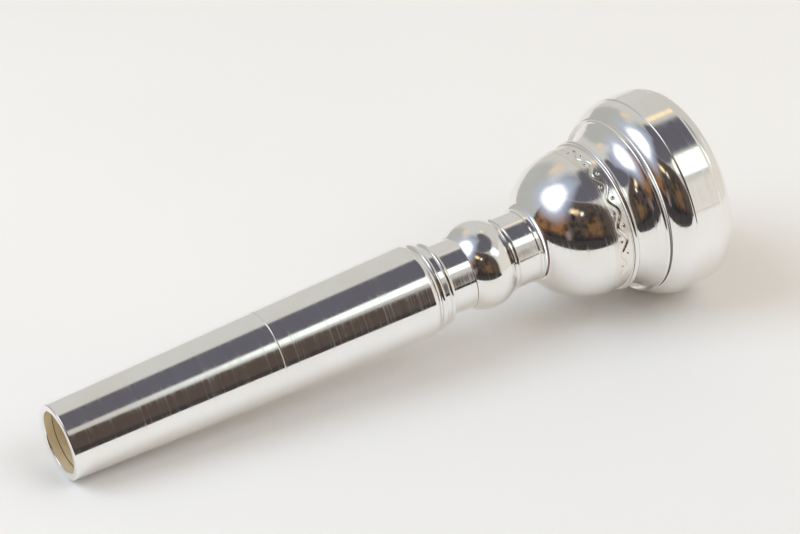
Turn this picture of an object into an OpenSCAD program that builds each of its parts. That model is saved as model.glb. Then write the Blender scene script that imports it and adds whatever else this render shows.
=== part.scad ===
// Trumpet mouthpiece in turned pieces: a screw-on rim, a cup, a backbore and a shank sleeve, with a seal
// ring at each screwed joint. Every profile is a list of [radius, station] points, where the station is the
// distance from the open tip of the shank, measured along the axis, in millimetres.

/* [Shank] */
// Outer diameter at the open tip
tip_d = 9.6; // [9.4:0.05:9.9]
// Growth of the shank's diameter per millimetre of length
shank_taper = 0.05; // [0.045:0.001:0.055]
// Length of the shank sleeve, from the tip to the fine line round the shank
sleeve_length = 28; // [24:0.5:30]
// Station where the shank ends in its rounded shoulder
shoulder_start = 48.8; // [48:0.1:49.4]
// Outer diameter of the spigot inside the sleeve
spigot_d = 8.7; // [8.5:0.05:8.8]

/* [Neck] */
// Diameter of the first ring after the shoulder
first_ring_d = 11.4; // [11:0.1:11.8]
// Diameter of the second ring after the shoulder
second_ring_d = 10.7; // [10.2:0.1:11]
// Diameter of the plain neck
neck_d = 9.1; // [8.8:0.1:9.4]
// Diameter of the ball bead
ball_d = 11.4; // [11:0.1:12]
// Station of the ball bead's centre
ball_station = 58.4; // [58.2:0.1:58.8]
// Diameter of the collar between the ball and the cup
collar_d = 9.3; // [9:0.1:9.6]

/* [Cup] */
// Station where the cup meets the backbore
cup_start = 65.3; // [65.1:0.1:65.5]
// Largest diameter of the rounded bowl
bowl_d = 19.2; // [19:0.1:19.4]
// Diameter of the small bead that ends the bowl
small_bead_d = 20; // [19.8:0.1:20.4]
// Diameter of the larger bead below the rim
large_bead_d = 23; // [22.8:0.1:23.4]
// Depth of the cup's cavity below the rim's inner edge
cavity_depth = 11.4; // [10:0.1:12]

/* [Rim] */
// Outer diameter of the rim
rim_d = 26.2; // [26:0.1:26.6]
// Inner diameter of the rim
rim_inner_d = 16.6; // [16.2:0.1:17]
// Station where the rim sits on the cup
rim_start = 82.5; // [82.3:0.1:82.8]
// Overall length of the mouthpiece
overall_length = 88.8; // [88.4:0.1:89.2]

/* [Air way] */
// Diameter of the throat
throat_d = 3.66; // [3.4:0.02:4]
// Diameter of the air way at the tip
mouth_d = 7.8; // [7.4:0.1:7.9]

/* [Joints] */
// Diameter of the cup's rim thread
rim_thread_d = 21; // [20.6:0.1:21.4]
// Diameter of the cup's stem thread
stem_thread_d = 6.8; // [6.6:0.1:7]
// Length of the cup's stem inside the backbore
stem_length = 4.8; // [4:0.1:5]
// Radial clearance of a screwed or sliding joint
clearance = 0.05; // [0.03:0.01:0.1]
// Thickness of the seal rings
seal_thickness = 0.7; // [0.6:0.05:0.8]

/* [Hidden] */
$fn = 96;

silver = [0.86, 0.86, 0.84];
rubber = [0.12, 0.12, 0.12];

bevel = 0.15;
tip_r = tip_d / 2;
rim_r = rim_d / 2;
throat_r = throat_d / 2;
mouth_r = mouth_d / 2;
spigot_r = spigot_d / 2;
neck_r = neck_d / 2;
collar_r = collar_d / 2;
bowl_r = bowl_d / 2;
cavity_r = rim_inner_d / 2;
rim_thread_r = rim_thread_d / 2;
stem_r = stem_thread_d / 2;

sleeve_lip = 1.2;              // length of the sleeve's inner lip at the tip
end_gap = 0.1;                 // gap left past the end of each spigot, so that its shoulder seats first
stem_end = cup_start - stem_length;
throat_end = 66;               // station where the throat opens into the backbore
throat_start = 75.4;           // station where the cavity closes into the throat
rim_thread_top = rim_start + 3.6;
seal_r = seal_thickness / 2;
seal_depth = seal_thickness - end_gap + 0.02;   // each seal ring spans its groove and the gap below it
rim_seal_r = 9.5;              // radius of the rim seal's centre line
cup_seal_r = 2.8;              // radius of the cup seal's centre line

function shank_r(station) = tip_r + shank_taper / 2 * station;
function airway_r(station) = throat_r + (mouth_r - throat_r) * pow(1 - station / throat_end, 0.8);

// Points of an arc from angle a0 to a1, where 0 points away from the axis and 90 towards the rim
function arc(centre, r, a0, a1, steps = 8) =
    [for (i = [0 : steps]) let (a = a0 + (a1 - a0) * i / steps) centre + r * [cos(a), sin(a)]];

function reversed(points) = [for (i = [len(points) - 1 : -1 : 0]) points[i]];

// Points of the air way between two stations, in the order given
function airway(from, to, steps = 12) =
    [for (i = [0 : steps]) let (s = from + (to - from) * i / steps) [airway_r(s), s]];

// Points of the cavity's wall: an ellipse whose quarter turn runs from the rim's edge to the cup's bottom
cavity_top = overall_length - 1.05;
function cavity_point(a) = [cavity_r * cos(a), cavity_top - cavity_depth * sin(a)];
function cavity(a0, a1, steps = 12) =
    [for (i = [0 : steps]) cavity_point(a0 + (a1 - a0) * i / steps)];
spigot_angle = asin((cavity_top - rim_thread_top) / cavity_depth);

// The mouthpiece lies on the bevel of its tip and on the edge of its rim, so its axis rises towards +X.
tip_contact = [shank_r(bevel), bevel];
rim_contact = [rim_r, rim_start + bevel];
lying_tilt = atan((rim_contact[0] - tip_contact[0]) / (rim_contact[1] - tip_contact[1]));
axis_height = tip_contact[0] * cos(lying_tilt) - tip_contact[1] * sin(lying_tilt);

// The rim's rounded face: an outer round, a gently falling crown and the bite that the lips meet
band_end = rim_start + 4.1;
outer_round = 2;
crown_r = rim_r - 0.2 - outer_round;
bite_round = 0.6;
bite_angle = 24;
bite_centre = [cavity_r + bite_round, cavity_top];
bite_start = bite_centre + bite_round * [-sin(bite_angle), cos(bite_angle)];
rim_face = concat(
    arc([crown_r, overall_length - outer_round], outer_round, 0, 90, 10),
    [for (t = [0.2 : 0.2 : 0.8])
        [crown_r + (bite_start[0] - crown_r) * t, overall_length + (bite_start[1] - overall_length) * t * t]],
    arc(bite_centre, bite_round, 90 + bite_angle, 180)
);

// The tip and the rim are the ends of the bounding box, and the origin is under its centre.
function along_x(p) = p[1] * cos(lying_tilt) + p[0] * sin(lying_tilt);
box_front = -tip_r * sin(lying_tilt);
box_back = max([for (p = rim_face) along_x(p)]);
tip_x = -(box_front + box_back) / 2;

// Lays a profile's solid down in its place. A profile turns about the axis, and its stations run along it.
module turned(profile) {
    translate([tip_x, 0, axis_height]) {
        rotate([0, 90 - lying_tilt, 0]) {
            rotate_extrude() polygon(profile);
        }
    }
}

module seal_ring(centre_r, station) {
    color(rubber) {
        translate([tip_x, 0, axis_height]) {
            rotate([0, 90 - lying_tilt, 0]) {
                translate([0, 0, station]) {
                    rotate_extrude() translate([centre_r, 0]) circle(r = seal_r);
                }
            }
        }
    }
}

// A square groove for a seal ring, sunk into the flat face at a station, as points from its inner to its
// outer side. A positive depth runs towards the rim.
function seal_groove(centre_r, face, depth) =
    let (inner = centre_r - seal_r - clearance, outer = centre_r + seal_r + clearance)
    [[inner, face], [inner, face + depth], [outer, face + depth], [outer, face]];

module rim() {
    ceiling = rim_thread_top + end_gap;
    bore_r = rim_thread_r + clearance;
    color(silver) turned(concat(
        [[bore_r + 0.3, rim_start], [rim_r - bevel, rim_start], [rim_r, rim_start + bevel]],
        [[rim_r, band_end - bevel], [rim_r - bevel, band_end]],
        rim_face,
        [cavity_point(spigot_angle * 0.9)],
        [[cavity_point(spigot_angle)[0], ceiling]],
        seal_groove(rim_seal_r, ceiling, seal_depth),
        [[bore_r, ceiling], [bore_r, rim_start + 0.3]]
    ));
}

module cup() {
    foot_r = collar_r + 0.1;
    large_bead_r = large_bead_d / 2;
    small_bead_r = small_bead_d / 2;
    bead_round = 0.35;
    bowl_round = 9.5;
    bowl_centre = [bowl_r - bowl_round, cup_start + 8.5];
    foot_angle = acos((foot_r - bowl_centre[0]) / bowl_round);
    small_bead = [small_bead_r - bead_round, cup_start + 10.4];
    large_bead = [large_bead_r - bead_round, cup_start + 14];
    band_round = 3.6;
    band_centre = [rim_r - 0.15 - band_round, rim_start];
    band_angle = asin((rim_start - large_bead[1] - 0.3) / band_round);
    color(silver) turned(concat(
        airway(throat_end, stem_end, 4),
        [[stem_r - 0.3, stem_end], [stem_r, stem_end + 0.3], [stem_r, cup_start - 0.9]],
        [[stem_r - 0.4, cup_start - 0.7], [stem_r - 0.4, cup_start]],
        [[foot_r - 0.1, cup_start], [foot_r, cup_start + 0.1]],
        arc(bowl_centre, bowl_round, -foot_angle, 0, 16),
        [[bowl_r, small_bead[1] - 0.45]],
        arc(small_bead, bead_round, -75, 75),
        arc([large_bead[0] - 0.35 + 2.6, small_bead[1] + 0.35], 3.9, 180, 125),
        arc(large_bead, bead_round, -60, 75),
        arc(band_centre, band_round, -band_angle, 0),
        [[rim_thread_r - 0.6, rim_start], [rim_thread_r - 0.6, rim_start + 0.4]],
        [[rim_thread_r, rim_start + 0.8], [rim_thread_r, rim_thread_top - 0.3]],
        [[rim_thread_r - 0.3, rim_thread_top]],
        cavity(spigot_angle, 74),
        [[throat_r + 0.25, throat_start + 0.5], [throat_r, throat_start]]
    ));
}

module backbore() {
    socket_r = stem_r + clearance;
    socket_end = stem_end - end_gap;
    shoulder_r = shank_r(shoulder_start);
    shoulder_round = 0.9;
    ring_round = 0.35;
    first_ring = [first_ring_d / 2 - ring_round, shoulder_start + 1.45];
    second_ring = [second_ring_d / 2 - ring_round, shoulder_start + 2.9];
    land_r = second_ring[0] + 0.1;
    ball_round = 4.4;
    ball_centre = [ball_d / 2 - ball_round, ball_station];
    ball_angle = acos((neck_r + 0.1 - ball_centre[0]) / ball_round);
    color(silver) turned(concat(
        airway(socket_end, sleeve_lip + end_gap, 16),
        [[spigot_r - 0.2, sleeve_lip + end_gap], [spigot_r, sleeve_lip + end_gap + 0.2]],
        [[spigot_r, sleeve_length], [shank_r(sleeve_length) - 0.03, sleeve_length]],
        [[shank_r(sleeve_length + 0.05), sleeve_length + 0.05]],
        arc([shoulder_r - shoulder_round, shoulder_start], shoulder_round, 0, 60),
        arc(first_ring, ring_round, -70, 75),
        [[land_r, first_ring[1] + 0.42], [land_r, second_ring[1] - 0.34]],
        arc(second_ring, ring_round, -70, 80),
        arc([neck_r + 0.3, second_ring[1] + 0.65], 0.3, 240, 180, 4),
        [[neck_r, ball_station - 2.95]],
        arc(ball_centre, ball_round, -ball_angle, ball_angle, 16),
        [[neck_r, ball_station + 2.9], [neck_r, ball_station + 3.1], [collar_r + 0.1, ball_station + 3.25]],
        [[collar_r, ball_station + 3.4], [collar_r, cup_start - 0.6], [collar_r + 0.15, cup_start - 0.5]],
        [[collar_r + 0.15, cup_start - 0.1], [collar_r + 0.05, cup_start]],
        [[socket_r + 0.25, cup_start], [socket_r, cup_start - 0.25], [socket_r, socket_end]],
        reversed(seal_groove(cup_seal_r, socket_end, -seal_depth))
    ));
}

module shank_sleeve() {
    bore_r = spigot_r + clearance;
    color(silver) turned(concat(
        [[mouth_r, bevel], [mouth_r + bevel, 0], [tip_r - bevel, 0], tip_contact],
        [[shank_r(sleeve_length - 0.05), sleeve_length - 0.05], [shank_r(sleeve_length) - 0.03, sleeve_length]],
        [[bore_r, sleeve_length], [bore_r, sleeve_lip], [airway_r(sleeve_lip), sleeve_lip]]
    ));
}

module rim_seal() {
    seal_ring(rim_seal_r, rim_thread_top + seal_r + 0.01);
}

module cup_seal() {
    seal_ring(cup_seal_r, stem_end - seal_r - 0.01);
}

rim();
rim_seal();
cup();
cup_seal();
backbore();
shank_sleeve();
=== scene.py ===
"""A trumpet mouthpiece in polished silver plate, turned in pieces that screw together, on a pale table.

Every piece is turned: its cross-section is a closed row of points, each a radius and a station in
millimetres, where the station is the distance from the open tip along the axis. The sizes are those of the
CAD model, and the pieces stand for its nodes with finer curves, real screw threads and an engraved band.
"""

import math

import bpy
import numpy as np
from mathutils import Matrix, Vector


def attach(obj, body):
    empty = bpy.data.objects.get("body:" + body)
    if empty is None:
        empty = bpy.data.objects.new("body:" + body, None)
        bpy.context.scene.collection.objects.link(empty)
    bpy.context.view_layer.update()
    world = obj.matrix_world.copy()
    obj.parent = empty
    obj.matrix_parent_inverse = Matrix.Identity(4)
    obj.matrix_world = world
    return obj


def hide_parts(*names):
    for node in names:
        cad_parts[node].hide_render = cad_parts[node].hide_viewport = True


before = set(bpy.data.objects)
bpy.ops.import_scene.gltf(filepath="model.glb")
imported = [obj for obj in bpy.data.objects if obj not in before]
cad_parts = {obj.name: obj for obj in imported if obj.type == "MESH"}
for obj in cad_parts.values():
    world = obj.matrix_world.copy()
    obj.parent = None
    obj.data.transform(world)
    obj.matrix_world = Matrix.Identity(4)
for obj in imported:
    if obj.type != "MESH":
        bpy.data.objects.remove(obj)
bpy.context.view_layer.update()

MM = 0.001

# ---- sizes shared with the CAD model, in millimetres ----

TIP_D = 9.6
SHANK_TAPER = 0.05
SLEEVE_LENGTH = 28
SHOULDER_START = 48.8
SPIGOT_D = 8.7
FIRST_RING_D = 11.4
SECOND_RING_D = 10.7
NECK_D = 9.1
BALL_D = 11.4
BALL_STATION = 58.4
COLLAR_D = 9.3
CUP_START = 65.3
BOWL_D = 19.2
SMALL_BEAD_D = 20
LARGE_BEAD_D = 23
CAVITY_DEPTH = 11.4
RIM_D = 26.2
RIM_INNER_D = 16.6
RIM_START = 82.5
OVERALL_LENGTH = 88.8
THROAT_D = 3.66
MOUTH_D = 7.8
RIM_THREAD_D = 21
STEM_THREAD_D = 6.8
STEM_LENGTH = 4.8
CLEARANCE = 0.05
SEAL_THICKNESS = 0.7

BEVEL = 0.15
SLEEVE_LIP = 1.2
END_GAP = 0.1
STEM_END = CUP_START - STEM_LENGTH
THROAT_END = 66
THROAT_START = 75.4
RIM_THREAD_TOP = RIM_START + 3.6
SEAL_R = SEAL_THICKNESS / 2
SEAL_DEPTH = SEAL_THICKNESS - END_GAP + 0.02
RIM_SEAL_R = 9.5
CUP_SEAL_R = 2.8
CAVITY_TOP = OVERALL_LENGTH - 1.05

# ---- sizes that only the visual pieces have, in millimetres ----

SEGMENTS = 256                 # round every turned piece
PITCH = 0.75                   # of both screw threads
THREAD_DEPTH = 0.3
THREAD_FLAT = 0.12             # share of half a pitch that is flat on the crest, and again in the root
ROWS_PER_TURN = 10             # of a thread
ARC_STEP = 4                   # degrees between the rows of an arc
SUPPORT = 0.05                 # distance of the rows that hold an edge's shading tight
ENGRAVED_FROM, ENGRAVED_TO = 72.7, 75.2
ENGRAVED_ROWS = 34
ENGRAVED_ARC = (-16, 116)      # degrees round the bowl, from straight up towards the camera's side
ENGRAVED_STEP = 0.5            # degrees
ENGRAVED_MARGIN = 6            # degrees left plain at both ends of that arc
WAVE_PITCH = 22.0              # degrees round the bowl from one crest of the wave to the next
WAVE_HEIGHT = 0.45
WAVE_WIDTH = 0.2
DOT_RADIUS = 0.24
DOT_SHIFT = 0.8                # of the dots from the middle of the band, as a share of the wave's height
ENGRAVED_DEPTH = 0.14

POLISHED, BORE, CUT = range(3)   # finishes of a turned surface


def shank_r(station):
    return TIP_D / 2 + SHANK_TAPER / 2 * station


def airway_r(station):
    throat_r = THROAT_D / 2
    return throat_r + (MOUTH_D / 2 - throat_r) * (1 - station / THROAT_END) ** 0.8


# ---- where the axis lies ----

TIP_CONTACT = (shank_r(BEVEL), BEVEL)
RIM_CONTACT = (RIM_D / 2, RIM_START + BEVEL)
TILT = math.atan((RIM_CONTACT[0] - TIP_CONTACT[0]) / (RIM_CONTACT[1] - TIP_CONTACT[1]))
AXIS_HEIGHT = TIP_CONTACT[0] * math.cos(TILT) - TIP_CONTACT[1] * math.sin(TILT)
AXIS = np.array([math.cos(TILT), 0, math.sin(TILT)])
UP = np.array([-math.sin(TILT), 0, math.cos(TILT)])
SIDE = np.cross(AXIS, UP)


# ---- cross-sections ----

class Section:
    """The closed cross-section of a turned piece, as rows of (radius, station, finish, thread depth)."""

    def __init__(self):
        self.rows = []

    def line(self, *points, finish=POLISHED):
        """Straight from point to point. Long stretches get a supporting row near each end."""
        for radius, station in points:
            if self.rows:
                r0, s0 = self.rows[-1][:2]
                length = math.hypot(radius - r0, station - s0)
                near = [SUPPORT / length, 1 - SUPPORT / length] if length > 5 * SUPPORT else []
                for t in near:
                    self.rows.append((r0 + (radius - r0) * t, s0 + (station - s0) * t, finish, 0))
            self.rows.append((radius, station, finish, 0))

    def curve(self, point_at, start, end, steps, finish=POLISHED):
        for i in range(steps + 1):
            radius, station = point_at(start + (end - start) * i / steps)
            self.rows.append((radius, station, finish, 0))

    def arc(self, centre, radius, start, end, finish=POLISHED):
        """An arc, where angle 0 points away from the axis and 90 towards the rim."""
        steps = max(3, math.ceil(abs(end - start) / ARC_STEP))
        self.line(arc_point(centre, radius, start), finish=finish)
        self.curve(lambda a: arc_point(centre, radius, a), start, end, steps, finish)

    def thread(self, radius, start, end, faded=0.0):
        """A screw thread cut into a cylinder, running out over a faded length at its end."""
        steps = math.ceil(abs(end - start) / PITCH * ROWS_PER_TURN)
        for i in range(steps + 1):
            station = start + (end - start) * i / steps
            depth = THREAD_DEPTH
            if faded:
                depth *= min(1, max(0, abs(end - station) / faded - 1))
            self.rows.append((radius, station, CUT, depth))

    def groove(self, centre_r, face, depth, outwards=True):
        """A square groove for a seal ring, sunk into a flat face."""
        inner = centre_r - SEAL_R - CLEARANCE
        outer = centre_r + SEAL_R + CLEARANCE
        first, last = (inner, outer) if outwards else (outer, inner)
        self.line((first, face), (first, face + depth), (last, face + depth), (last, face), finish=BORE)


def arc_point(centre, radius, degrees):
    a = math.radians(degrees)
    return centre[0] + radius * math.cos(a), centre[1] + radius * math.sin(a)


def cavity_point(degrees):
    """A point of the cavity's wall, an ellipse from the rim's inner edge to the bottom of the cup."""
    a = math.radians(degrees)
    return RIM_INNER_D / 2 * math.cos(a), CAVITY_TOP - CAVITY_DEPTH * math.sin(a)


SPIGOT_ANGLE = math.degrees(math.asin((CAVITY_TOP - RIM_THREAD_TOP) / CAVITY_DEPTH))


def rim_section():
    rim_r = RIM_D / 2
    bore_r = RIM_THREAD_D / 2 + CLEARANCE
    ceiling = RIM_THREAD_TOP + END_GAP
    band_end = RIM_START + 4.1
    outer_round = 2
    crown_r = rim_r - 0.2 - outer_round
    bite_round, bite_angle = 0.6, 24
    bite_centre = (RIM_INNER_D / 2 + bite_round, CAVITY_TOP)
    bite_start = arc_point(bite_centre, bite_round, 90 + bite_angle)

    def crown_point(t):
        radius = crown_r + (bite_start[0] - crown_r) * t
        return radius, OVERALL_LENGTH + (bite_start[1] - OVERALL_LENGTH) * t * t

    rim = Section()
    rim.line((bore_r + 0.3, RIM_START), (rim_r - BEVEL, RIM_START), (rim_r, RIM_START + BEVEL))
    rim.line((rim_r, band_end - BEVEL), (rim_r - BEVEL, band_end))
    rim.arc((crown_r, OVERALL_LENGTH - outer_round), outer_round, 0, 90)
    rim.curve(crown_point, 0.1, 0.9, 8)
    rim.arc(bite_centre, bite_round, 90 + bite_angle, 180)
    rim.curve(cavity_point, 0.5, SPIGOT_ANGLE, 6)
    rim.line((cavity_point(SPIGOT_ANGLE)[0], ceiling), finish=BORE)
    rim.groove(RIM_SEAL_R, ceiling, SEAL_DEPTH)
    rim.line((bore_r, ceiling), (bore_r, RIM_THREAD_TOP - 0.35), finish=BORE)
    rim.thread(bore_r, RIM_START + 0.35, RIM_THREAD_TOP - 0.35, faded=0.3)
    reversed_thread(rim)
    rim.line((bore_r + 0.05, RIM_START + 0.25), finish=BORE)
    return rim


def reversed_thread(section):
    """Turns the last run of threaded rows round, for a bore that is listed from its closed end."""
    first = len(section.rows)
    while first and section.rows[first - 1][2] == CUT:
        first -= 1
    section.rows[first:] = section.rows[first:][::-1]


def cup_section():
    stem_r = STEM_THREAD_D / 2
    foot_r = COLLAR_D / 2 + 0.1
    bead_round = 0.35
    bowl_round = 9.5
    bowl_centre = (BOWL_D / 2 - bowl_round, CUP_START + 8.5)
    foot_angle = math.degrees(math.acos((foot_r - bowl_centre[0]) / bowl_round))
    small_bead = (SMALL_BEAD_D / 2 - bead_round, CUP_START + 10.4)
    large_bead = (LARGE_BEAD_D / 2 - bead_round, CUP_START + 14)
    band_round = 3.6
    band_centre = (RIM_D / 2 - 0.15 - band_round, RIM_START)
    band_angle = math.degrees(math.asin((RIM_START - large_bead[1] - 0.3) / band_round))
    rim_thread_r = RIM_THREAD_D / 2
    throat_r = THROAT_D / 2

    cup = Section()
    cup.curve(lambda s: (airway_r(s), s), THROAT_END, STEM_END, 24, BORE)
    cup.line((stem_r - THREAD_DEPTH, STEM_END), finish=BORE)
    cup.line((stem_r - THREAD_DEPTH, STEM_END + 0.05), finish=CUT)
    cup.thread(stem_r, STEM_END + 0.3, CUP_START - 0.9)
    cup.line((stem_r - 0.4, CUP_START - 0.7), (stem_r - 0.4, CUP_START), finish=BORE)
    cup.line((foot_r - 0.1, CUP_START), (foot_r, CUP_START + 0.1))
    cup.arc(bowl_centre, bowl_round, -foot_angle, 0)
    cup.line((BOWL_D / 2, small_bead[1] - 0.45))
    cup.arc(small_bead, bead_round, -75, 75)
    cup.arc((large_bead[0] - bead_round + 2.6, small_bead[1] + bead_round), 3.9, 180, 125)
    cup.arc(large_bead, bead_round, -60, 75)
    cup.arc(band_centre, band_round, -band_angle, 0)
    cup.line((rim_thread_r - 0.6, RIM_START), (rim_thread_r - 0.6, RIM_START + 0.4), finish=CUT)
    cup.thread(rim_thread_r, RIM_START + 0.8, RIM_THREAD_TOP - 0.3)
    cup.line((rim_thread_r - 0.35, RIM_THREAD_TOP), finish=CUT)
    cup.line(cavity_point(SPIGOT_ANGLE), finish=CUT)
    cup.curve(cavity_point, SPIGOT_ANGLE + 1, 74, 36)
    cup.line((throat_r + 0.25, THROAT_START + 0.5), (throat_r, THROAT_START), finish=BORE)
    return cup


def backbore_section():
    spigot_r = SPIGOT_D / 2
    neck_r = NECK_D / 2
    collar_r = COLLAR_D / 2
    socket_r = STEM_THREAD_D / 2 + CLEARANCE
    socket_end = STEM_END - END_GAP
    shoulder_round = 0.9
    ring_round = 0.35
    first_ring = (FIRST_RING_D / 2 - ring_round, SHOULDER_START + 1.45)
    second_ring = (SECOND_RING_D / 2 - ring_round, SHOULDER_START + 2.9)
    land_r = second_ring[0] + 0.1
    ball_round = 4.4
    ball_centre = (BALL_D / 2 - ball_round, BALL_STATION)
    ball_angle = math.degrees(math.acos((neck_r + 0.1 - ball_centre[0]) / ball_round))

    backbore = Section()
    backbore.curve(lambda s: (airway_r(s), s), socket_end, SLEEVE_LIP + END_GAP, 60, BORE)
    backbore.line((spigot_r - 0.2, SLEEVE_LIP + END_GAP), finish=CUT)
    backbore.line((spigot_r, SLEEVE_LIP + END_GAP + 0.2), finish=CUT)
    backbore.line((spigot_r, SLEEVE_LENGTH), (shank_r(SLEEVE_LENGTH) - 0.04, SLEEVE_LENGTH), finish=CUT)
    backbore.line((shank_r(SLEEVE_LENGTH + 0.06), SLEEVE_LENGTH + 0.06))
    backbore.arc((shank_r(SHOULDER_START) - shoulder_round, SHOULDER_START), shoulder_round, 0, 60)
    backbore.arc(first_ring, ring_round, -70, 75)
    backbore.line((land_r, first_ring[1] + 0.42), (land_r, second_ring[1] - 0.34))
    backbore.arc(second_ring, ring_round, -70, 80)
    backbore.arc((neck_r + 0.3, second_ring[1] + 0.65), 0.3, 240, 180)
    backbore.line((neck_r, BALL_STATION - 2.95))
    backbore.arc(ball_centre, ball_round, -ball_angle, ball_angle)
    backbore.line((neck_r, BALL_STATION + 2.9), (neck_r, BALL_STATION + 3.1))
    backbore.line((collar_r + 0.1, BALL_STATION + 3.25), (collar_r, BALL_STATION + 3.4))
    backbore.line((collar_r, CUP_START - 0.6), (collar_r + 0.15, CUP_START - 0.5))
    backbore.line((collar_r + 0.15, CUP_START - 0.1), (collar_r + 0.05, CUP_START))
    backbore.line((socket_r + 0.25, CUP_START), (socket_r + 0.05, CUP_START - 0.2), finish=CUT)
    backbore.thread(socket_r, CUP_START - 0.3, STEM_END + 0.35, faded=0.3)
    backbore.line((socket_r, socket_end), finish=BORE)
    backbore.groove(CUP_SEAL_R, socket_end, -SEAL_DEPTH, outwards=False)
    return backbore


def sleeve_section():
    tip_r, mouth_r = TIP_D / 2, MOUTH_D / 2
    bore_r = SPIGOT_D / 2 + CLEARANCE
    sleeve = Section()
    sleeve.line((mouth_r, BEVEL), (mouth_r + BEVEL, 0), (tip_r - BEVEL, 0), TIP_CONTACT)
    sleeve.line((shank_r(SLEEVE_LENGTH - 0.06), SLEEVE_LENGTH - 0.06))
    sleeve.line((shank_r(SLEEVE_LENGTH) - 0.04, SLEEVE_LENGTH), (bore_r, SLEEVE_LENGTH))
    sleeve.line((bore_r, SLEEVE_LIP), (airway_r(SLEEVE_LIP), SLEEVE_LIP), finish=BORE)
    sleeve.line((mouth_r - 0.005, BEVEL + 0.1), finish=BORE)
    return sleeve


def seal_section(centre_r, station):
    """A moulded ring with the fine parting line that the two halves of its mould leave."""
    seal = Section()
    parting = 0.012

    def ring_point(degrees):
        flash = parting * math.exp(-((degrees % 180) / 6) ** 2)
        return arc_point((centre_r, station), SEAL_R - parting + flash, degrees)

    seal.curve(ring_point, 0, 355, 71)
    return seal


# ---- surfaces ----

def thread_wave(turns):
    """0 on the crest of a thread and 1 in its root, with a small flat on both."""
    tooth = 1 - np.abs(2 * (turns % 1) - 1)
    return np.clip((tooth - THREAD_FLAT) / (1 - 2 * THREAD_FLAT), 0, 1)


def engraving(degrees, station):
    """Depth of the engraved band, in millimetres: one unbroken wave with a dot in every bend."""
    x_scale = math.radians(1) * BOWL_D / 2
    start, end = ENGRAVED_ARC[0] + ENGRAVED_MARGIN, ENGRAVED_ARC[1] - ENGRAVED_MARGIN
    y = station - (ENGRAVED_FROM + ENGRAVED_TO) / 2
    phase = 2 * math.pi * (degrees - start) / WAVE_PITCH
    steepness = WAVE_HEIGHT * 2 * math.pi / (WAVE_PITCH * x_scale) * np.sin(phase)
    from_wave = np.abs(y - WAVE_HEIGHT * np.cos(phase)) / np.hypot(1, steepness)
    depth = np.clip(WAVE_WIDTH - from_wave, 0, ENGRAVED_DEPTH)
    for side, shift in ((-1, 0.0), (1, 0.5)):
        turns = (degrees - start) / WAVE_PITCH + shift
        x = (turns - np.round(turns)) * WAVE_PITCH * x_scale
        from_dot = np.hypot(x, y - side * WAVE_HEIGHT * DOT_SHIFT)
        depth = np.maximum(depth, np.clip(DOT_RADIUS - from_dot, 0, ENGRAVED_DEPTH))
    return np.where((degrees > start) & (degrees < end), depth, 0)


def ring_degrees(dense):
    """Where the points of one ring of a turned piece stand, in degrees from straight up."""
    even = np.arange(SEGMENTS) * 360 / SEGMENTS - 180
    if not dense:
        return even
    fine = np.arange(ENGRAVED_ARC[0], ENGRAVED_ARC[1], ENGRAVED_STEP)
    return np.unique(np.round(np.concatenate([even, fine]), 6))


def engraved_rows(rows):
    """The same rows, with the engraved stretch of the bowl cut into fine steps that are marked True."""
    outside = BOWL_D / 2 - 1
    outer = [row for row in rows if row[0] > outside]
    stations = np.array([row[1] for row in outer])
    radii = np.array([row[0] for row in outer])
    rising = np.argsort(stations, kind="stable")
    made, done = [], False
    for row in rows:
        on_band = row[0] > outside and ENGRAVED_FROM < row[1] < ENGRAVED_TO
        if not on_band:
            made.append((*row, False))
        elif not done:
            done = True
            for station in np.linspace(ENGRAVED_FROM, ENGRAVED_TO, ENGRAVED_ROWS):
                radius = float(np.interp(station, stations[rising], radii[rising]))
                made.append((radius, float(station), CUT, 0, True))
    return made


def turned(name, section, engraved=False):
    """A turned piece as a mesh object, from its cross-section."""
    rows = engraved_rows(section.rows) if engraved else [(*row, False) for row in section.rows]
    points, rings, profile = [], [], []
    for radius, station, finish, thread_depth, dense in rows:
        degrees = ring_degrees(dense)
        angles = np.radians(degrees)
        r = np.full(len(angles), radius)
        if thread_depth:
            r = r - thread_depth * thread_wave(station / PITCH - angles / (2 * math.pi))
        if dense:
            r = r - engraving(degrees, station)
        out = np.cos(angles)[:, None] * UP + np.sin(angles)[:, None] * SIDE
        xyz = r[:, None] * out + station * AXIS
        first = sum(len(p) for p in points)
        rings.append((first, degrees, finish))
        points.append(xyz)
        profile.append(np.column_stack([np.full(len(r), station), r, np.zeros(len(r))]))
    origin = np.array([cad_tip_x(), 0, AXIS_HEIGHT])
    vertices = (np.concatenate(points) + origin) * MM
    faces, finishes = [], []
    for i, ring in enumerate(rings):
        following = rings[(i + 1) % len(rings)]
        made = band_faces(ring, following)
        faces += made
        finishes += [following[2]] * len(made)
    mesh = bpy.data.meshes.new(name)
    mesh.from_pydata(vertices.tolist(), [], faces)
    mesh.polygons.foreach_set("material_index", finishes)
    mesh.polygons.foreach_set("use_smooth", [True] * len(faces))
    attribute = mesh.attributes.new("profile", "FLOAT_VECTOR", "POINT")
    attribute.data.foreach_set("vector", np.concatenate(profile).astype(np.float32).ravel())
    mark_sharp_rings(mesh, rows, rings)
    mesh.validate()
    mesh.update()
    piece = bpy.data.objects.new(name, mesh)
    bpy.context.scene.collection.objects.link(piece)
    return piece


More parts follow.
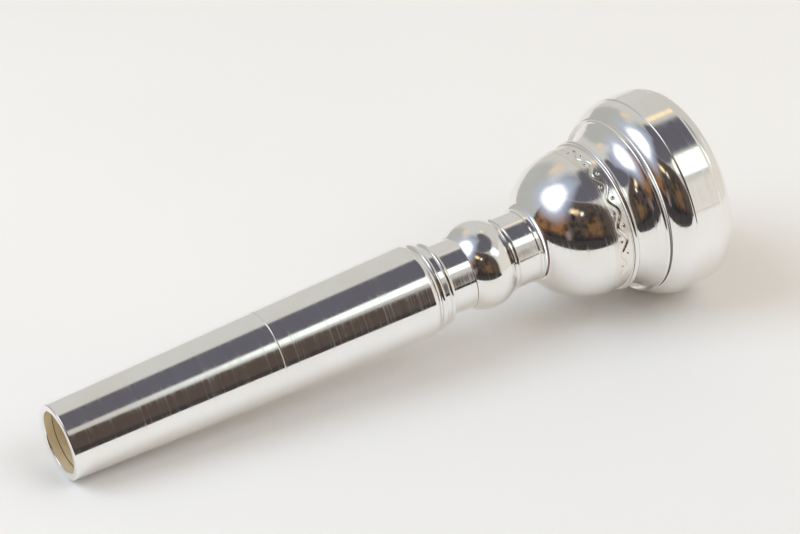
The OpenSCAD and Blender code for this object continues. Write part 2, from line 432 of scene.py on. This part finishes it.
def band_faces(ring, following):
    """The faces between two rings. Where one has more points, they become extra corners of the same face."""
    first_a, degrees_a, _ = ring
    first_b, degrees_b, _ = following
    count_a, count_b = len(degrees_a), len(degrees_b)
    if count_a == count_b:
        steps = np.arange(count_a)
        after = (steps + 1) % count_a
        return np.column_stack([first_a + steps, first_a + after, first_b + after, first_b + steps]).tolist()
    edges = ring_degrees(False)
    faces = []
    for i, start in enumerate(edges):
        end = edges[i + 1] if i + 1 < len(edges) else edges[0] + 360
        near = [first_a + j % count_a for j in between(degrees_a, start, end)]
        far = [first_b + j % count_b for j in between(degrees_b, start, end)]
        faces.append(near + far[::-1])
    return faces


def between(degrees, start, end):
    """Places in a ring's points from one angle to another, both ends included."""
    tolerance = 1e-4
    first = int(np.searchsorted(degrees, start - tolerance))
    last = int(np.searchsorted(degrees, end - tolerance))
    return range(first, last + 1)


def mark_sharp_rings(mesh, rows, rings):
    """Keeps a turned corner crisp where the cross-section turns by more than sharp_turn."""
    sharp_turn = math.radians(50)
    sharp_rows = set()
    for i, row in enumerate(rows):
        before, after = rows[i - 1], rows[(i + 1) % len(rows)]
        a = math.atan2(row[1] - before[1], row[0] - before[0])
        b = math.atan2(after[1] - row[1], after[0] - row[0])
        turn = abs((b - a + math.pi) % (2 * math.pi) - math.pi)
        if turn > sharp_turn and not row[4]:
            sharp_rows.add(i)
    row_of = np.zeros(len(mesh.vertices), int)
    for i, (first, degrees, _) in enumerate(rings):
        row_of[first:first + len(degrees)] = i
    ends = np.zeros(len(mesh.edges) * 2, int)
    mesh.edges.foreach_get("vertices", ends)
    ends = row_of[ends.reshape(-1, 2)]
    sharp = (ends[:, 0] == ends[:, 1]) & np.isin(ends[:, 0], list(sharp_rows))
    mesh.edges.foreach_set("use_edge_sharp", sharp)


def cad_tip_x():
    """Where the tip's centre stands, so that the tip and the rim end the CAD model's box evenly."""
    reach = [
        station * math.cos(TILT) + radius * math.sin(TILT)
        for radius, station, _, _ in RIM_SECTION.rows
    ]
    return -(max(reach) - TIP_D / 2 * math.sin(TILT)) / 2


RIM_SECTION = rim_section()


# ---- materials ----

class Graph:
    """A node tree that is written as plain calls, each of which returns the new node's output."""

    def __init__(self, owner):
        owner.use_nodes = True
        self.tree = owner.node_tree
        self.tree.nodes.clear()

    def add(self, kind, output=0, settings=None, **inputs):
        node = self.tree.nodes.new(kind)
        for key, value in (settings or {}).items():
            setattr(node, key, value)
        for key, value in inputs.items():
            socket = node.inputs[int(key[1:])] if key[1:].isdigit() else node.inputs[key.replace("_", " ")]
            if isinstance(value, bpy.types.NodeSocket):
                self.tree.links.new(value, socket)
            else:
                socket.default_value = value
        return node.outputs[output]

    def math(self, operation, *values):
        numbered = {f"i{i}": value for i, value in enumerate(values)}
        return self.add("ShaderNodeMath", settings={"operation": operation}, **numbered)

    def noise(self, vector, scale, detail=4.0, roughness=0.5):
        return self.add("ShaderNodeTexNoise", Vector=vector, Scale=scale, Detail=detail, Roughness=roughness)

    def remap(self, value, low, high, to_low, to_high):
        return self.add("ShaderNodeMapRange", settings={"interpolation_type": "SMOOTHSTEP"}, Value=value,
                        From_Min=low, From_Max=high, To_Min=to_low, To_Max=to_high)

    def mix(self, factor, first, second):
        return self.add("ShaderNodeMix", output=2, settings={"data_type": "RGBA"},
                        i0=factor, i6=first, i7=second)

    def scaled(self, vector, x, y, z):
        return self.add("ShaderNodeVectorMath", settings={"operation": "MULTIPLY"}, i0=vector, i1=(x, y, z))

    def finish(self, kind, surface):
        output = self.tree.nodes.new(kind)
        self.tree.links.new(surface, output.inputs["Surface"])


def srgb(red, green, blue):
    """A linear colour from display values of 0 to 255."""
    def linear(value):
        value /= 255
        return value / 12.92 if value <= 0.04045 else ((value + 0.055) / 1.055) ** 2.4
    return (linear(red), linear(green), linear(blue), 1)


def silver(name, fresh, tarnished, smooth, scratched, lines_per_mm, bump, metallic=1.0):
    """Silver plate with fine lines round the piece, faint handling marks and a slight warm tarnish."""
    material = bpy.data.materials.new(name)
    graph = Graph(material)
    profile = graph.add("ShaderNodeAttribute", output=1, settings={"attribute_name": "profile"})
    place = graph.add("ShaderNodeTexCoord", output=3)
    lines = graph.noise(graph.scaled(profile, lines_per_mm, lines_per_mm, 0), 1.0, 4.0, 0.75)
    patches = graph.noise(place, 700.0, 4.0, 0.6)
    broken = graph.math("MULTIPLY", lines, graph.remap(patches, 0.3, 0.7, 0.94, 1.06))
    smudges = graph.noise(place, 140.0, 5.0, 0.6)
    scratches = graph.remap(broken, 0.4, 0.7, smooth, scratched)
    roughness = graph.math("ADD", scratches, graph.remap(smudges, 0.5, 0.75, 0.0, smooth * 0.8))
    colour = graph.mix(graph.remap(smudges, 0.3, 0.8, 0.0, 1.0), fresh, tarnished)
    ripple = graph.noise(place, 420.0, 2.0)
    height = graph.math("ADD", graph.math("MULTIPLY", broken, 0.02), graph.math("MULTIPLY", ripple, 0.1))
    normal = graph.add("ShaderNodeBump", Strength=bump, Distance=0.0001, Height=height)
    surface = graph.add("ShaderNodeBsdfPrincipled", Base_Color=colour, Metallic=metallic,
                        Roughness=roughness, Normal=normal)
    graph.finish("ShaderNodeOutputMaterial", surface)
    return material


def seal_rubber():
    material = bpy.data.materials.new("seal_rubber")
    graph = Graph(material)
    place = graph.add("ShaderNodeTexCoord", output=3)
    bloom = graph.noise(place, 900.0, 5.0, 0.6)
    grain = graph.noise(place, 9000.0, 3.0)
    colour = graph.mix(graph.remap(bloom, 0.4, 0.75, 0.0, 1.0), srgb(30, 30, 31), srgb(58, 57, 56))
    roughness = graph.remap(bloom, 0.3, 0.8, 0.42, 0.62)
    normal = graph.add("ShaderNodeBump", Strength=0.25, Distance=0.00005, Height=grain)
    surface = graph.add("ShaderNodeBsdfPrincipled", Base_Color=colour, Roughness=roughness, Normal=normal)
    graph.finish("ShaderNodeOutputMaterial", surface)
    return material


# ---- the mouthpiece ----

FINISHES = [
    silver("silver_polished", srgb(249, 248, 246), srgb(244, 241, 234), 0.03, 0.22, 5, 0.6),
    silver("silver_bore", srgb(246, 234, 206), srgb(228, 208, 170), 0.3, 0.5, 6, 0.6, metallic=0.5),
    silver("silver_cut", srgb(248, 246, 243), srgb(236, 230, 218), 0.1, 0.3, 8, 0.3),
]
RUBBER = [seal_rubber()] * 3

PIECES = {
    "rim": (RIM_SECTION, FINISHES, "silver_plate"),
    "rim_seal": (seal_section(RIM_SEAL_R, RIM_THREAD_TOP + SEAL_R + 0.01), RUBBER, "seal_rubber"),
    "cup": (cup_section(), FINISHES, "silver_plate"),
    "cup_seal": (seal_section(CUP_SEAL_R, STEM_END - SEAL_R - 0.01), RUBBER, "seal_rubber"),
    "backbore": (backbore_section(), FINISHES, "silver_plate"),
    "shank_sleeve": (sleeve_section(), FINISHES, "silver_plate"),
}

for node, (section, materials, slot) in PIECES.items():
    piece = turned(f"turned_{node}", section, engraved=node == "cup")
    for material in materials:
        piece.data.materials.append(material)
    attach(piece, node)
    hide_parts(node)


# ---- the studio ----

CAMERA_PLACE = (-0.1692, -0.2821, 0.2186)
CAMERA_AZIMUTH, CAMERA_ELEVATION = -31.3, 31.8
LENS = 143.5


def direction_to(azimuth, elevation):
    """Unit vector out from the table. Azimuth 0 is in front of it and 90 at the rim's end."""
    a, e = math.radians(azimuth), math.radians(elevation)
    return Vector((math.sin(a) * math.cos(e), -math.cos(a) * math.cos(e), math.sin(e)))


def bright(colour, times):
    return tuple(channel * times for channel in colour[:3]) + (1,)


# Patches of the room round the table, seen only in reflections: the azimuth and elevation of the middle,
# half the width and height, how soft the edge is, all in degrees, and the colour. Each one covers those
# before it.
ROOM = [
    ("back wall", 150, 20, 75, 45, 10, srgb(208, 207, 204)),
    ("left wall", -150, 10, 38, 34, 12, srgb(182, 183, 181)),
    ("ceiling", 0, 90, 180, 32, 5, srgb(100, 99, 108)),
    ("pale ceiling", -125, 74, 50, 14, 16, srgb(160, 166, 182)),
    ("dark room", -45, 8, 69.5, 50, 3, srgb(84, 74, 68)),
    ("brown furniture", -84, 14, 26, 24, 10, srgb(142, 104, 72)),
    ("brown door", -14, 14, 12, 20, 7, srgb(118, 92, 68)),
    ("black cabinet", -40, -8, 62, 14, 6, srgb(48, 49, 53)),
    ("grey figure", -53, 4, 4, 12, 3, srgb(140, 126, 124)),
    ("right wall", 62, 5, 37.8, 36, 2, srgb(226, 222, 215)),
    ("window halo", -107, 48, 40, 25, 24, srgb(186, 198, 222)),
    ("window", -107, 48, 26, 17, 11, bright(srgb(250, 252, 255), 1.5)),
    ("front lamp", 34, 49.5, 15.5, 7.5, 3, bright(srgb(244, 255, 250), 1.3)),
    ("front lamp, low side", 41, 46, 13.5, 11, 2, bright(srgb(244, 255, 250), 1.3)),
    ("warm wall lamp", -175, 44, 10, 6, 7, srgb(228, 208, 186)),
    ("warm lamps", -50, 43, 8, 3, 5, bright(srgb(255, 226, 178), 1.4)),
    ("small lamp", -34, 41, 3, 2.6, 3, bright(srgb(255, 250, 240), 1.5)),
    ("gold lamp", 138, 55.5, 5, 3, 2, bright(srgb(255, 234, 190), 1.15)),
]


def patch_mask(graph, azimuth, elevation, middle, height, half_width, half_height, soft):
    """1 inside a rounded patch of the room and 0 outside it, with a soft edge."""
    across = graph.math("WRAP", graph.math("SUBTRACT", azimuth, float(middle)), 180.0, -180.0)
    across = graph.math("DIVIDE", graph.math("ABSOLUTE", across), float(half_width))
    upward = graph.math("SUBTRACT", elevation, float(height))
    upward = graph.math("DIVIDE", graph.math("ABSOLUTE", upward), float(half_height))
    reach = graph.math("ADD", graph.math("POWER", across, 3.0), graph.math("POWER", upward, 3.0))
    reach = graph.math("POWER", reach, 1 / 3)
    edge = soft / min(half_width, half_height)
    return graph.remap(reach, 1 - edge / 2, 1 + edge / 2, 1.0, 0.0)


def room_world():
    """The plain pale light on everything, and the room that only reflections show."""
    world = bpy.data.worlds.new("studio")
    bpy.context.scene.world = world
    graph = Graph(world)
    direction = graph.add("ShaderNodeTexCoord")
    x, y, z = [graph.add("ShaderNodeSeparateXYZ", output=i, Vector=direction) for i in range(3)]
    azimuth = graph.math("DEGREES", graph.math("ARCTAN2", x, graph.math("MULTIPLY", y, -1.0)))
    elevation = graph.math("DEGREES", graph.math("ARCSINE", z))
    colour = srgb(200, 198, 194)
    for _, *shape, patch in ROOM:
        colour = graph.mix(patch_mask(graph, azimuth, elevation, *shape), colour, patch)
    clutter = graph.remap(graph.noise(direction, 6.0, 6.0, 0.6), 0.42, 0.62, 0.0, 0.8)
    lightness = graph.add("ShaderNodeRGBToBW", Color=colour)
    shaded = graph.math("MULTIPLY", clutter, graph.remap(lightness, 0.12, 0.3, 1.0, 0.0))
    shaded = graph.math("MULTIPLY", shaded, graph.remap(azimuth, 0.0, 10.0, 1.0, 0.0))
    shaded = graph.math("MULTIPLY", shaded, graph.remap(elevation, 40.0, 55.0, 1.0, 0.0))
    colour = graph.mix(shaded, colour, srgb(34, 33, 34))
    room = graph.add("ShaderNodeBackground", Color=colour, Strength=1.0)
    plain = graph.add("ShaderNodeBackground", Color=srgb(248, 234, 214), Strength=0.74)
    reflected = graph.add("ShaderNodeLightPath", output=3)
    surface = graph.add("ShaderNodeMixShader", i0=reflected, i1=plain, i2=room)
    graph.finish("ShaderNodeOutputWorld", surface)


def flat_piece(name, corners, material):
    mesh = bpy.data.meshes.new(name)
    mesh.from_pydata(corners, [], [list(range(len(corners)))])
    mesh.materials.append(material)
    made = bpy.data.objects.new(name, mesh)
    bpy.context.scene.collection.objects.link(made)
    return made


def table():
    material = bpy.data.materials.new("table")
    graph = Graph(material)
    place = graph.add("ShaderNodeTexCoord", output=3)
    clouds = graph.noise(place, 6.0, 3.0)
    grain = graph.noise(place, 900.0, 4.0)
    colour = graph.mix(graph.remap(clouds, 0.3, 0.7, 0.0, 1.0), srgb(238, 238, 237), srgb(232, 232, 233))
    normal = graph.add("ShaderNodeBump", Strength=0.04, Distance=0.0002, Height=grain)
    surface = graph.add("ShaderNodeBsdfPrincipled", Base_Color=colour, Roughness=0.6, Normal=normal)
    graph.finish("ShaderNodeOutputMaterial", surface)
    half = 2.0
    flat_piece("table", [(-half, -half, 0), (half, -half, 0), (half, half, 0), (-half, half, 0)], material)


def reflected_card(name, corners, first, second):
    """A cloth or card on the table, out of the camera's sight, that only reflections show."""
    material = bpy.data.materials.new(name)
    graph = Graph(material)
    place = graph.add("ShaderNodeTexCoord", output=3)
    graph.finish("ShaderNodeOutputMaterial",
                 graph.add("ShaderNodeEmission", Color=graph.mix(graph.noise(place, 14.0), first, second)))
    height = 0.001
    card = flat_piece(name, [(x, y, height) for x, y in corners], material)
    card.visible_camera = False
    card.visible_diffuse = False
    card.visible_shadow = False
    card.visible_transmission = False


def softbox(name, azimuth, elevation, distance, size, power, colour):
    light = bpy.data.lights.new(name, "AREA")
    light.size = size
    light.energy = power
    light.color = colour[:3]
    made = bpy.data.objects.new(name, light)
    bpy.context.scene.collection.objects.link(made)
    towards = direction_to(azimuth, elevation)
    made.location = towards * distance
    made.rotation_euler = towards.to_track_quat("Z", "Y").to_euler()
    made.visible_glossy = False


def camera():
    made = bpy.data.objects.new("camera", bpy.data.cameras.new("camera"))
    bpy.context.scene.collection.objects.link(made)
    bpy.context.scene.camera = made
    made.data.lens = LENS
    made.data.clip_start = 0.01
    back = direction_to(CAMERA_AZIMUTH, CAMERA_ELEVATION)
    made.matrix_world = Matrix.Translation(CAMERA_PLACE) @ back.to_track_quat("Z", "Y").to_matrix().to_4x4()


room_world()
table()
reflected_card("dark_cloth", [(-0.16, 0.047), (-1.9, 0.35), (-1.9, -1.86), (0.96, -1.86), (0.052, -0.082)],
               srgb(52, 52, 56), srgb(72, 66, 62))
reflected_card("grey_card", [(-0.03, 0.06), (0.0, 0.3), (0.0, 1.9), (-1.9, 1.9), (-1.9, 0.45), (-0.2, 0.06)],
               srgb(176, 177, 174), srgb(186, 186, 183))
softbox("window_light", -107, 47, 0.9, 0.6, 4.6, srgb(214, 234, 255))
softbox("front_light", 33, 50, 0.9, 0.5, 2.0, srgb(236, 244, 255))
camera()
bpy.context.scene.view_settings.view_transform = "Standard"
